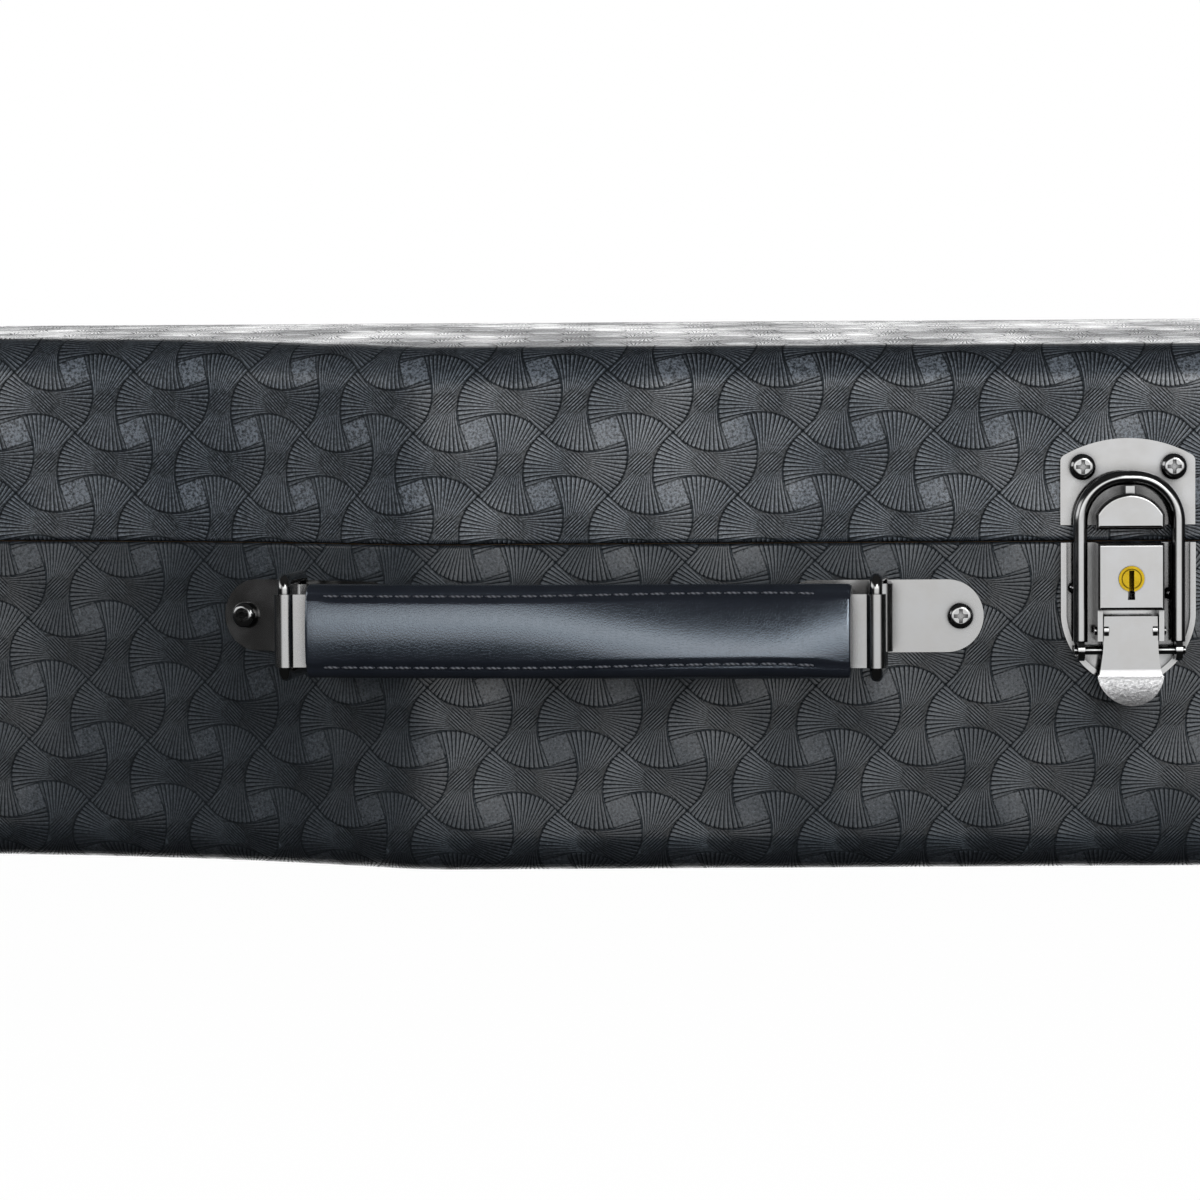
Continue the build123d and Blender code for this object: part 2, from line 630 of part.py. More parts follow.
def build_handle():
    ring_sag = ring_height / 2 - ring_wire - (plate_width / 2 - knuckle_recess) - ring_play
    loop_sag = ring_height / 2 - ring_wire - loop_height / 2 - ring_play
    plates = {"left": handle_plate(handle_left_x), "right": handle_plate(handle_right_x)}
    knuckle_left, knuckle_right = [
        (plates[name][0] * Location((0, -knuckle_out, 0))).position for name in ("left", "right")]
    chord = math.degrees(math.atan2(knuckle_right.Y - knuckle_left.Y, knuckle_right.X - knuckle_left.X))
    span = (knuckle_right - knuckle_left).length
    print(f"handle chord {chord:.3f} span {span:.3f}")
    for name, knuckle in (("left", knuckle_left), ("right", knuckle_right)):
        _, plate, screws, stems = plates[name]
        add(f"handle_plate_{name}", plate)
        base_shanks.extend(stems)
        add("handle_screws", *screws)
        ring_spot = Location((knuckle.X, knuckle.Y, handle_z - ring_sag), (0, 0, chord))
        add(f"handle_ring_{name}", wire_ring().moved(ring_spot))
        outer = (ring_spot * Location((0, -ring_reach, 0))).position
        print(f"handle {name} knuckle: {knuckle.X:.3f} {knuckle.Y:.3f}, outer bar: {outer.X:.3f} {outer.Y:.3f}")
    # strap frame: x along the chord from the middle, the outer bars on its end loops' axes
    middle_x = (knuckle_left.X + knuckle_right.X) / 2
    middle_y = (knuckle_left.Y + knuckle_right.Y) / 2
    strap_z = handle_z - ring_sag - loop_sag
    frame = Location((middle_x, middle_y, strap_z), (0, 0, chord)) * Location((0, -ring_reach, 0))
    loop_inner = ring_wire / 2 + running_clearance
    core_half = span / 2
    core = box(-core_half + 2, core_half - 2, -0.9, 0.9, -loop_height / 2, loop_height / 2)
    for side in (1, -1):
        loop = rod((side * core_half, 0, -loop_height / 2), (side * core_half, 0, loop_height / 2),
                   loop_inner + loop_sheet)
        core = core + loop
    for side in (1, -1):
        core = core - rod((side * core_half, 0, -20), (side * core_half, 0, 20), loop_inner)
    add("handle_steel_core", core.moved(frame))
    strap_half = core_half - strap_inset
    strap = box(-strap_half, strap_half, -strap_thickness / 2, strap_thickness / 2, -strap_height / 2,
                strap_height / 2)
    strap = fillet(strap.edges().filter_by(Axis.X), 3.4)
    strap = strap - box(-core_half, core_half, -0.9, 0.9, -loop_height / 2, loop_height / 2)
    add("handle_strap", strap.moved(frame))
    return frame


def build_feet():
    """Round feet on the back side, for standing the case on its hinges."""
    for name, z, places in (("base_feet", base_foot_z, base_foot_places), ("lid_feet", lid_foot_z, lid_foot_places)):
        for x in places:
            foot = rod((x, body_half_width, z), (x, body_half_width + foot_out, z), foot_radius)
            rim = foot.edges().filter_by(GeomType.CIRCLE).sort_by(Axis.Y)[-1]
            add(name, fillet(rim, foot_radius / 2))


build_shells()
compartment_axis = build_interior()
latch_places = build_latches()
hinge_y = build_hinges()
build_handle()
build_feet()
print("compartment axis", compartment_axis, "lid axis y", hinge_y)

for name in ("lid_vinyl_cover", "lid_side_rim"):
    nodes[name] = [cut_all(solid, lid_shanks) for solid in nodes[name]]
for name in ("base_vinyl_side", "base_side_rim"):
    nodes[name] = [cut_all(solid, base_shanks) for solid in nodes[name]]

os.makedirs("parts", exist_ok=True)
for name, solids in nodes.items():
    flat = []
    for item in solids:
        flat.extend(item.solids())
    shape = flat[0] if len(flat) == 1 else Compound(children=flat)
    shape.label = name
    export_step(shape, f"parts/{name}.step")
print(len(nodes), "nodes")
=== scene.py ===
import math

import bpy
from mathutils import Matrix, Vector


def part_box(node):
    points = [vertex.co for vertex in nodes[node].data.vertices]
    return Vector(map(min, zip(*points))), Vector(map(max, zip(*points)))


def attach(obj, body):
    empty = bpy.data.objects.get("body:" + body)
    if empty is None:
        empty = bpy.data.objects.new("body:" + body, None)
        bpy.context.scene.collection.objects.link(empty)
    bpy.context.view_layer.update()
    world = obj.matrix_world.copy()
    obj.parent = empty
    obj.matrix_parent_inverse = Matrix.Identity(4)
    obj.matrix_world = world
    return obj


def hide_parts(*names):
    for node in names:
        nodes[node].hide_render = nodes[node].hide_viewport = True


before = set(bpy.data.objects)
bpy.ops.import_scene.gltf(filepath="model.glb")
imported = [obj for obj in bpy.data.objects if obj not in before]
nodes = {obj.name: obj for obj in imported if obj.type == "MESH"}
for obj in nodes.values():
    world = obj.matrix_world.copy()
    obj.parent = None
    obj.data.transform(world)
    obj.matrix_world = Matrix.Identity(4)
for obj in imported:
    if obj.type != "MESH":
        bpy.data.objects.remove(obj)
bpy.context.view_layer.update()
print("frame loaded", len(nodes), "nodes")


# Camera and light

view = {
    "aimX": 0.0805, "sideY": -0.178, "aimZ": 0.0655,  # where the picture's middle meets the near side
    "distance": 1.15, "height": 0.124,
    "frameWidth": 0.2868,  # what the picture is wide at the near side
    "roll": 0.35, "sensor": 36.0, "clipEnd": 50.0,
}


def makeCamera():
    data = bpy.data.cameras.new("camera")
    camera = bpy.data.objects.new("camera", data)
    bpy.context.scene.collection.objects.link(camera)
    aim = Vector((view["aimX"], view["sideY"], view["aimZ"]))
    spot = Vector((view["aimX"], view["sideY"] - view["distance"], view["height"]))
    camera.location = spot
    camera.rotation_mode = "QUATERNION"
    turn = (aim - spot).to_track_quat("-Z", "Y")
    camera.rotation_quaternion = turn @ Matrix.Rotation(math.radians(-view["roll"]), 4, "Z").to_quaternion()
    data.sensor_width = view["sensor"]
    data.lens = view["sensor"] * view["distance"] / view["frameWidth"]
    data.clip_end = view["clipEnd"]
    bpy.context.scene.camera = camera


class Sock:
    # one output of a node, with arithmetic that adds Math nodes

    def __init__(self, mat, out):
        self.mat = mat
        self.out = out

    def math(self, operation, *others):
        inputs = {i: v for i, v in enumerate((self, *others))}
        return self.mat.node("ShaderNodeMath", {"operation": operation}, inputs)

    def __add__(self, other): return self.math("ADD", other)
    def __radd__(self, other): return self.math("ADD", other)
    def __sub__(self, other): return self.math("SUBTRACT", other)
    def __rsub__(self, other): return (self * -1).math("ADD", other)
    def __mul__(self, other): return self.math("MULTIPLY", other)
    def __truediv__(self, other): return self.math("DIVIDE", other)
    def __gt__(self, other): return self.math("GREATER_THAN", other)
    def __lt__(self, other): return self.math("LESS_THAN", other)

    def between(self, low, high, toLow=0.0, toHigh=1.0):
        # smooth step from toLow at low to toHigh at high
        return self.mat.node("ShaderNodeMapRange", {"interpolation_type": "SMOOTHSTEP"},
                             {0: self, 1: low, 2: high, 3: toLow, 4: toHigh})

    def ramp(self, *stops):
        # colour ramp with stops of (place, colour)
        return self.mat.node("ShaderNodeValToRGB", {"stops": stops}, {0: self})


class Mat:
    # a material of its own, or the node tree that is handed in

    def __init__(self, name, tree=None):
        self.tree = tree
        if tree is not None:
            return
        self.data = bpy.data.materials.new(name)
        self.data.use_nodes = True
        self.tree = self.data.node_tree
        self.tree.nodes.clear()
        self.shader = self.tree.nodes.new("ShaderNodeBsdfPrincipled")
        out = self.tree.nodes.new("ShaderNodeOutputMaterial")
        self.tree.links.new(self.shader.outputs[0], out.inputs[0])

    def node(self, kind, settings=None, inputs=None, output=0):
        item = self.tree.nodes.new(kind)
        for key, value in (settings or {}).items():
            if key == "stops":
                ramp = item.color_ramp
                for i, (place, colour) in enumerate(value):
                    stop = ramp.elements[i] if i < 2 else ramp.elements.new(place)
                    stop.position = place
                    stop.color = (*colour, 1)
            else:
                setattr(item, key, value)
        for key, value in (inputs or {}).items():
            if isinstance(value, Sock):
                self.tree.links.new(value.out, item.inputs[key])
            else:
                item.inputs[key].default_value = value
        return Sock(self, item.outputs[output])

    def split(self, vector):
        item = self.tree.nodes.new("ShaderNodeSeparateXYZ")
        self.tree.links.new(vector.out, item.inputs[0])
        return [Sock(self, out) for out in item.outputs]

    def join(self, x, y, z):
        return self.node("ShaderNodeCombineXYZ", None, {0: x, 1: y, 2: z})

    def place(self):
        # a point in the piece's own coordinates, and in the world a direction
        return self.node("ShaderNodeTexCoord", None, None, 3)

    def noise(self, scale, detail=2.0, rough=0.5, vector=None, distortion=0.0):
        return self.node("ShaderNodeTexNoise", None, {
            "Vector": vector or self.place(), "Scale": scale, "Detail": detail, "Roughness": rough,
            "Distortion": distortion})

    def mix(self, factor, a, b):
        # colour a where the factor is 0, b where it is 1
        return self.node("ShaderNodeMix", {"data_type": "RGBA"}, {0: factor, 6: a, 7: b}, 2)

    def bump(self, height, distance, strength=1.0, normal=None):
        inputs = {"Height": height, "Distance": distance, "Strength": strength}
        if normal:
            inputs["Normal"] = normal
        return self.node("ShaderNodeBump", None, inputs)

    def blendShaders(self, factor, first, second):
        item = self.node("ShaderNodeMixShader", None, {0: factor})
        inputs = item.out.node.inputs
        self.tree.links.new(first.out, inputs[1])
        self.tree.links.new(second.out, inputs[2])
        return item

    def finish(self, **values):
        for key, value in values.items():
            socket = self.shader.inputs[key.replace("_", " ")]
            if isinstance(value, Sock):
                self.tree.links.new(value.out, socket)
            else:
                socket.default_value = value
        return self.data


def grey(level, tint=0.0):
    return (level, level * (1 + tint * 0.4), level * (1 + tint), 1)


# Finishes

emboss = {
    "cellWide": 0.0311, "cellTall": 0.0299,  # one repeat of the fans, in metres
    "wander": 0.0016, "wanderScale": 9.0,  # how far and how finely the print drifts from its grid
    "lines": 13, "sweep": 64.0, "first": -19.0,  # grooves in a fan, and the angle that they turn through
    "rise": 0.24, "slope": 0.55, "fall": 0.84,  # one stick across, in shares of its width
    "waistPitch": 0.085, "waistDepth": 0.75, "waistNear": 0.2, "waistFar": 0.5,
    "crossNear": 0.35, "crossFar": 0.95,
    "twirl": 0.2, "twirlSpan": 70.0, "twirlLeast": 0.05,  # the sticks don't all meet in one point
    "squareHalf": 0.434, "squareTurn": 18.9, "squareLevel": 0.35, "squareGrain": 0.9,
    "cornerX": 0.55, "cornerY": 0.27,  # a corner of the square from its middle
    "arcX": -1.0, "arcY": 0.73, "arcRadius": 1.61,  # the arc that ends a fan, seen from its square
    "arcLine": 0.05, "squareLine": 0.045, "lineDepth": 0.4,
    "grainScale": 1500.0, "grainDepth": 0.8,
    "depth": 0.00028,
}


def fanHeight(mat, phaseU, phaseV):
    # the fan emboss: squares in a pinwheel, with a half bow-tie of fine grooves on each of their sides
    e = emboss
    wrap = {"uv_map": "wrap"}
    u, v, _ = mat.split(mat.node("ShaderNodeUVMap", wrap))
    drift = mat.split(mat.node("ShaderNodeTexNoise", None, {
        "Vector": mat.node("ShaderNodeUVMap", wrap), "Scale": e["wanderScale"], "Detail": 1.0}, 1))
    x = (u - phaseU + (drift[0] - 0.5) * e["wander"]) / (e["cellWide"] / 4)
    y = (v - phaseV + (drift[1] - 0.5) * e["wander"]) / (-e["cellTall"] / 4)
    # the nearest square's middle becomes the origin
    qx, qy = x + 1.0, y - 1.0
    s, t = (qx + qy) / 4.0, (qx - qy) / 4.0
    s, t = s - s.math("ROUND"), t - t.math("ROUND")
    qx, qy = (s + t) * 2.0, (s - t) * 2.0
    # a quarter turn brings each side of the square to the same place
    reach = (qx * qx + qy * qy).math("SQRT")
    corner = math.atan2(e["cornerY"], e["cornerX"])
    quarter = math.pi / 2
    turn = qy.math("ARCTAN2", qx) - corner
    turn = turn - (turn / quarter).math("FLOOR") * quarter + corner
    px, py = reach * turn.math("COSINE"), reach * turn.math("SINE")
    ax, ay = px - e["arcX"], py - e["arcY"]
    arc = (ax * ax + ay * ay).math("SQRT") - e["arcRadius"]
    past = arc > 0.0
    turn = turn + past * quarter
    wx = reach * turn.math("COSINE") - e["arcX"]
    wy = reach * turn.math("SINE") - 1.0
    # the sticks of a fan, counted by their angle round its waist
    far = (wx * wx + wy * wy).math("SQRT")
    lean = wy.math("ARCTAN2", wx)
    waist = (math.radians(45) - lean) * (e["twirl"] / math.radians(e["twirlSpan"]))
    pull = (waist / far.math("MAXIMUM", e["twirlLeast"])).math("MINIMUM", 1.0).math("MAXIMUM", -1.0)
    ray = lean + pull.math("ARCSINE")
    step = (ray - math.radians(e["first"])) * (e["lines"] / math.radians(e["sweep"]))
    # each stick lies over the next: a steep edge, a sloping face and a groove
    tooth = step.math("FRACT")
    ridge = tooth.between(0.0, e["rise"]) * (1.0 - tooth * e["slope"]) * (1.0 - tooth.between(e["fall"], 1.0))
    fade = far.between(e["waistNear"], e["waistFar"])
    across = ((wx - wy) * (math.sqrt(0.5) / e["waistPitch"])).math("FRACT")
    crossing = 1.0 - ((across - 0.5).math("ABSOLUTE") * 2.0).between(e["crossNear"], e["crossFar"])
    edge = math.radians(e["squareTurn"])
    side = px * math.sin(edge) + py * math.cos(edge) - e["squareHalf"]
    inSquare = (side < 0.0) * (1.0 - past)
    grain = mat.noise(e["grainScale"], 3.0, 0.7)
    ridge = ridge * fade + crossing * (1.0 - fade) * e["waistDepth"]
    body = ridge * (1.0 - inSquare) + inSquare * (e["squareLevel"] + grain * e["squareGrain"])
    arcLine = 1.0 - arc.math("ABSOLUTE").between(0.0, e["arcLine"])
    squareLine = (1.0 - side.math("ABSOLUTE").between(0.0, e["squareLine"])) * (1.0 - past)
    return body - arcLine.math("MAXIMUM", squareLine) * e["lineDepth"] + (grain - 0.5) * e["grainDepth"]


vinyl = {
    # tones from a groove up to a crest: painted shade in the grooves, painted highlight on the crests
    "groove": (0.002, 0.0023, 0.003), "face": (0.009, 0.0106, 0.013),
    "shoulder": (0.038, 0.044, 0.053), "crest": (0.19, 0.22, 0.26),
    "top": 1.05, "reach": 0.8,  # the height that counts as a crest, and how far up the tones it gets
    "wearScale": 34.0, "wearFrom": 0.35, "wearTo": 0.68,
    "rough": 0.44, "worn": 0.14, "grooveRough": 0.3, "specular": 0.42, "tint": (0.72, 0.87, 1.0, 1),
    "coat": 0.35, "wornCoat": 0.6, "coatFrom": 0.3, "coatTo": 0.8, "coatRough": 0.3, "coatIndex": 1.6,
}


def vinylFinish(name, phaseU, phaseV, lift):
    # lift above 1 paints light onto a face: lighter tones and more coat, a lit copy of the same vinyl
    mat = Mat(name)
    height = fanHeight(mat, phaseU, phaseV)
    wear = mat.noise(vinyl["wearScale"], 3.0, 0.55)
    # painted shade and highlight: the base colour follows the emboss height, dark in the grooves and light on the
    # crests
    tone = height.between(0.0, vinyl["top"], 0.0, vinyl["reach"] * lift).ramp(
        (0.0, vinyl["groove"]), (0.5, vinyl["face"]), (0.75, vinyl["shoulder"]), (1.0, vinyl["crest"]))
    gloss = wear.between(vinyl["wearFrom"], vinyl["wearTo"], 0.0, lift)
    low = 1.0 - height.between(0.0, 1.0)
    crest = height.between(vinyl["coatFrom"], vinyl["coatTo"])
    return mat.finish(
        Base_Color=tone, Roughness=vinyl["rough"] - gloss * vinyl["worn"] + low * vinyl["grooveRough"],
        Specular_IOR_Level=vinyl["specular"], Specular_Tint=vinyl["tint"],
        Coat_Weight=(gloss * vinyl["wornCoat"] + vinyl["coat"]) * crest,
        Coat_Roughness=vinyl["coatRough"], Coat_IOR=vinyl["coatIndex"],
        Normal=mat.bump(height, emboss["depth"], 1.0))


def paintedCreviceShade(mat, reach):
    # 0 in a deep corner, 1 in the open, from ambient occlusion: a mask for painted shade
    return mat.node("ShaderNodeAmbientOcclusion", {"samples": 6}, {"Distance": reach}, 1).between(0.25, 0.9)


metal = {
    "cloudScale": 160.0, "grainScale": 1500.0, "grainDepth": 0.00001, "grainStrength": 0.35,
    "shade": 0.92, "scratch": 0.05, "corner": 0.004, "paintedShadeTone": 0.02,
    # the finger lip of a lever has a blast finish below this height: rough and grainy for real, and painted light
    # there, a bright grainy tone as a painted highlight
    "lipZ": 0.0465, "lipEdge": 0.0006, "lipGlintLow": (0.45, 0.45, 0.46), "lipGlintHigh": (0.95, 0.95, 0.96),
    "lipRough": 0.35, "lipDepth": 0.0003, "lipStrength": 0.6,
}


def nickelFinish(name, level, roughness, blastedLitLip=False):
    mat = Mat(name)
    cloud = mat.noise(metal["cloudScale"], 3.0, 0.6)
    fine = mat.noise(metal["grainScale"], 3.0, 0.7)
    tone = cloud.ramp((0.3, grey(level * metal["shade"], -0.02)[:3]), (0.7, grey(level, 0.015)[:3]))
    # painted shade: deep corners and slots darkened from the occlusion mask
    tone = mat.mix(paintedCreviceShade(mat, metal["corner"]), grey(metal["paintedShadeTone"]), tone)
    rough = roughness + cloud.between(0.3, 0.8) * metal["scratch"]
    relief = mat.bump(fine, metal["grainDepth"], metal["grainStrength"])
    if blastedLitLip:
        low, high = metal["lipZ"] - metal["lipEdge"], metal["lipZ"] + metal["lipEdge"]
        lip = 1.0 - mat.split(mat.place())[2].between(low, high)
        # painted highlight: the lip gets a bright grainy tone over its real roughness and bumps
        tone = mat.mix(lip, tone, fine.ramp((0.3, metal["lipGlintLow"]), (0.7, metal["lipGlintHigh"])))
        rough = rough + lip * metal["lipRough"]
        relief = mat.bump(fine * lip, metal["lipDepth"], metal["lipStrength"], relief)
    return mat.finish(Base_Color=tone, Metallic=1.0, Roughness=rough, Normal=relief)


brass = {
    "dark": (0.26, 0.17, 0.008), "light": (0.36, 0.25, 0.016), "cloudScale": 420.0,
    "corner": 0.0025, "paintedShadeTone": (0.012, 0.008, 0.002, 1),
    "rough": 0.22, "cloudRough": 0.12, "grainScale": 2200.0, "grainDepth": 0.00001,
}


def brassFinish():
    mat = Mat("lockBrass")
    cloud = mat.noise(brass["cloudScale"], 3.0, 0.6)
    tone = cloud.ramp((0.3, brass["dark"]), (0.75, brass["light"]))
    # painted shade: the lock's deep corners and slot darkened from the occlusion mask
    tone = mat.mix(paintedCreviceShade(mat, brass["corner"]), brass["paintedShadeTone"], tone)
    relief = mat.bump(mat.noise(brass["grainScale"], 2.0), brass["grainDepth"], 0.3)
    return mat.finish(Base_Color=tone, Metallic=1.0, Roughness=brass["rough"] + cloud * brass["cloudRough"],
                      Normal=relief)


leather = {
    "dark": (0.010, 0.0125, 0.019), "light": (0.018, 0.0215, 0.030), "tint": (0.7, 0.84, 1.0, 1),
    "poreScale": 1500.0, "poreWide": 0.25, "poreDepth": 0.35, "creaseScale": 60.0, "creaseDepth": 0.8,
    "rough": 0.16, "creaseRough": 0.10, "coat": 0.5, "coatRough": 0.15, "coatIndex": 1.55, "depth": 0.00008,
}


def strapFinish():
    mat = Mat("strapLeather")
    pores = mat.node("ShaderNodeTexVoronoi", {"feature": "DISTANCE_TO_EDGE"}, {
        "Vector": mat.place(), "Scale": leather["poreScale"]})
    crease = mat.noise(leather["creaseScale"], 4.0, 0.6)
    tone = crease.ramp((0.3, leather["dark"]), (0.7, leather["light"]))
    height = pores.between(0.0, leather["poreWide"]) * leather["poreDepth"] + crease * leather["creaseDepth"]
    return mat.finish(
        Base_Color=tone, Roughness=leather["rough"] + crease * leather["creaseRough"], Specular_IOR_Level=1.0,
        Specular_Tint=leather["tint"], Coat_Weight=leather["coat"], Coat_Roughness=leather["coatRough"],
        Coat_IOR=leather["coatIndex"], Normal=mat.bump(height, leather["depth"], 0.5))


thread = {
    "dark": (0.03, 0.033, 0.042), "light": (0.20, 0.21, 0.24), "strands": 5200.0, "rough": 0.6, "depth": 0.00006,
}


def threadFinish():
    mat = Mat("strapThread")
    u, _, w = mat.split(mat.place())
    twist = (u * thread["strands"] + w * thread["strands"]).math("SINE")
    # painted highlight and shade: the thread light on the crests of its twist and dark between, in step with the
    # bump
    tone = twist.between(-1.0, 1.0).ramp((0.0, thread["dark"]), (1.0, thread["light"]))
    return mat.finish(Base_Color=tone, Roughness=thread["rough"], Normal=mat.bump(twist, thread["depth"], 0.6))


plush = {
    "dark": (0.022, 0.022, 0.025), "light": (0.095, 0.094, 0.10),
    "pileScale": 900.0, "pileShare": 0.55, "napScale": 22.0, "napShare": 0.45, "napDepth": 0.8,
    "rough": 0.95, "sheen": 0.55, "sheenRough": 0.4, "specular": 0.2, "depth": 0.0006,
}


def plushFinish():
    mat = Mat("plush")
    pile = mat.noise(plush["pileScale"], 4.0, 0.75)
    nap = mat.noise(plush["napScale"], 3.0, 0.6, distortion=0.6)
    tone = (pile * plush["pileShare"] + nap * plush["napShare"]).ramp((0.32, plush["dark"]), (0.68, plush["light"]))
    return mat.finish(
        Base_Color=tone, Roughness=plush["rough"], Sheen_Weight=plush["sheen"], Sheen_Roughness=plush["sheenRough"],
        Specular_IOR_Level=plush["specular"], Normal=mat.bump(pile + nap * plush["napDepth"], plush["depth"], 0.8))


ply = {
    "dark": (0.36, 0.22, 0.11), "light": (0.66, 0.48, 0.28), "layers": 5200.0, "layerShare": 0.18,
    "grainScale": 30.0, "grainWide": 3.0, "grainTall": 60.0, "rough": 0.62, "depth": 0.0002,
}


def plyFinish():
    mat = Mat("birchPly")
    u, v, w = mat.split(mat.place())
    layer = (w * ply["layers"]).math("SINE")
    stretched = mat.join(u * ply["grainWide"], v * ply["grainWide"], w * ply["grainTall"])
    grain = mat.noise(ply["grainScale"], 4.0, 0.6, stretched)
    tone = (layer * ply["layerShare"] + grain).ramp((0.3, ply["dark"]), (0.75, ply["light"]))
    return mat.finish(Base_Color=tone, Roughness=ply["rough"], Normal=mat.bump(grain, ply["depth"], 0.5))


rubber = {
    "dark": (0.014, 0.014, 0.015), "light": (0.034, 0.034, 0.036), "scale": 700.0,
    "rough": 0.55, "fineRough": 0.15, "depth": 0.00012,
}


def rubberFinish():
    mat = Mat("footRubber")
    fine = mat.noise(rubber["scale"], 3.0, 0.6)
    tone = fine.ramp((0.3, rubber["dark"]), (0.75, rubber["light"]))
    return mat.finish(Base_Color=tone, Roughness=rubber["rough"] + fine * rubber["fineRough"],
                      Normal=mat.bump(fine, rubber["depth"], 0.6))


finishes = {
    "nickel": nickelFinish("darkNickel", 0.26, 0.11),
    "steel": nickelFinish("plateSteel", 0.24, 0.17),
    "lever": nickelFinish("leverNickel", 0.26, 0.13, True),
    "brass": brassFinish(), "strap": strapFinish(), "thread": threadFinish(),
    "plush": plushFinish(), "ply": plyFinish(), "rubber": rubberFinish(),
}
print("finishes made")


def addMesh(name, points, faces, finish, uvs=None):
    mesh = bpy.data.meshes.new(name)
    mesh.from_pydata([tuple(p) for p in points], [], faces)
    if uvs:
        layer = mesh.uv_layers.new(name="wrap")
        for loop in mesh.loops:
            layer.data[loop.index].uv = uvs[loop.vertex_index]
    mesh.materials.append(finish)
    for face in mesh.polygons:
        face.use_smooth = True
    piece = bpy.data.objects.new(name, mesh)
    bpy.context.scene.collection.objects.link(piece)
    return piece


# The vinyl covers, lofted round the plan of the case

casePlan = {
    "length": 1.030, "halfWidth": 0.178, "bodyCorner": 0.132, "headCorner": 0.048,
    "bendX": 0.047, "bendRadius": 0.040, "bendAngle": math.radians(33.0),
    "sweepRadius": 0.250, "taper": math.radians(4.0),
    "parting": 0.079, "lidEdge": 0.1255, "crown": 0.133, "edgeRadius": 0.009, "partingGap": 0.0002,
    "headSteps": 12, "neckSteps": 44, "sweepSteps": 24, "bendSteps": 12, "bodySteps": 40, "endSteps": 30,
}

cover = {
    "lipIn": 0.0012, "lipTurn": 0.0004, "lipRise": 0.0006,  # the vinyl turns in at its mouth
    "sideStart": 0.001, "lidEase": 0.0005, "sideSteps": 8, "edgeSteps": 10, "across": 40,
}


def arcPoints(centre, radius, start, end, count):
    step = (end - start) / count
    return [(centre[0] + radius * math.cos(start + step * i), centre[1] + radius * math.sin(start + step * i),
             math.cos(start + step * i), math.sin(start + step * i)) for i in range(count + 1)]


def backHalf():
    # plan of the +Y half from the head end to the body end: (x, y, normal x, normal y)
    p = casePlan
    half, bend, sweep = p["halfWidth"], p["bendRadius"], p["sweepRadius"]
    turn, taper = p["bendAngle"], p["taper"]
    up = math.pi / 2
    bendCentre = (p["bendX"], half - bend)
    bendEnd = (bendCentre[0] - bend * math.sin(turn), bendCentre[1] + bend * math.cos(turn))
    sweepCentre = (bendEnd[0] - sweep * math.sin(turn), bendEnd[1] + sweep * math.cos(turn))
    sweepEnd = (sweepCentre[0] + sweep * math.sin(taper), sweepCentre[1] - sweep * math.cos(taper))
    headX = -p["length"] / 2 + p["headCorner"]
    headStartX = headX - p["headCorner"] * math.sin(taper)
    headStartY = sweepEnd[1] + (headStartX - sweepEnd[0]) * math.tan(taper)
    headCentre = (headX, headStartY - p["headCorner"] * math.cos(taper))
    cornerCentre = (p["length"] / 2 - p["bodyCorner"], half - p["bodyCorner"])
    points = arcPoints(headCentre, p["headCorner"], math.pi, up + taper, p["headSteps"])
    for i in range(1, p["neckSteps"]):
        f = i / p["neckSteps"]
        points.append((headStartX + (sweepEnd[0] - headStartX) * f, headStartY + (sweepEnd[1] - headStartY) * f,
                       -math.sin(taper), math.cos(taper)))
    # the sweep curves the other way, so its normals point at its centre
    for i in range(p["sweepSteps"] + 1):
        a = taper + (turn - taper) * i / p["sweepSteps"]
        points.append((sweepCentre[0] + sweep * math.sin(a), sweepCentre[1] - sweep * math.cos(a),
                       -math.sin(a), math.cos(a)))
    points += arcPoints(bendCentre, bend, up + turn, up, p["bendSteps"])[1:]
    for i in range(1, p["bodySteps"]):
        points.append((p["bendX"] + (cornerCentre[0] - p["bendX"]) * i / p["bodySteps"], half, 0.0, 1.0))
    return points + arcPoints(cornerCentre, p["bodyCorner"], up, 0.0, p["endSteps"])


def archZ(y):
    # height of the lid's top, which arches from side to side
    p = casePlan
    drop = p["crown"] - p["lidEdge"]
    radius = (p["halfWidth"] ** 2 + drop ** 2) / (2 * drop)
    return p["crown"] - radius + math.sqrt(radius ** 2 - y * y)


